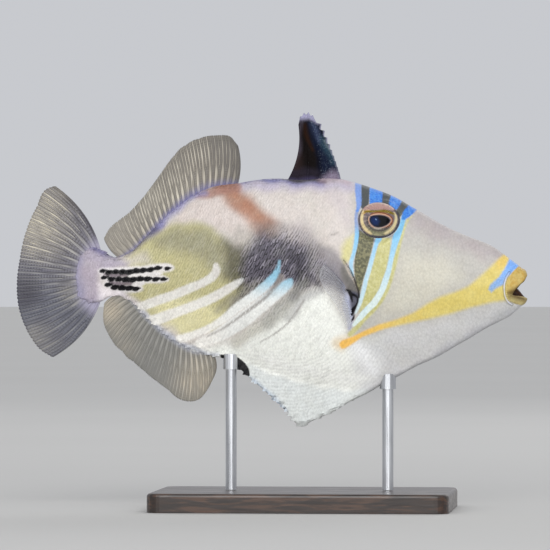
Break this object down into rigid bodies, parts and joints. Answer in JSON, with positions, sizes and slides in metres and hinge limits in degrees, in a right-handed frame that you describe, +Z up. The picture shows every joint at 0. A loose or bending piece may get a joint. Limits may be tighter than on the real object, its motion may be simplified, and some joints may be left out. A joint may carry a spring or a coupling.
{
  "type": "picasso triggerfish",
  "caption": "Life-size display model of a picasso triggerfish with raised fins and rows of tail spines, held by slim rods above a flat base.",
  "frame": {"origin": "on the floor, at the middle of the model's bounding box, which is in the underside of the stand's base", "axes": "+X towards the snout, +Y to the fish's left side, +Z up"},
  "size_m": [0.22, 0.08, 0.1694],
  "materials": {
    "skin": "fine leathery scales with a wet sheen, cream back, white belly and the species' painted bands",
    "lip": "smooth moist golden lips",
    "fin": "thin translucent grey membrane over fine branching rays",
    "spiny_fin": "dark brown membrane behind a rough blue-grey spine",
    "eye": "clear wet cornea over a gold-brown iris and a dark pupil",
    "stand_base": "dark stained wood with a satin lacquer",
    "stand_rod": "satin steel rod"
  },
  "bodies": {
    "root": {"head": "skin", "torso": "skin", "tail_stalk": "skin", "ventral_flap": "skin", "lips": "lip", "eye_right": "eye", "eye_left": "eye", "spiny_dorsal_fin": "spiny_fin", "soft_dorsal_fin": "fin", "anal_fin": "fin", "caudal_fin": "fin", "pectoral_fin_right": "fin", "pectoral_fin_left": "fin", "stand_base": "stand_base", "stand_rod_front": "stand_rod", "stand_rod_rear": "stand_rod"}
  },
  "joints": []
}
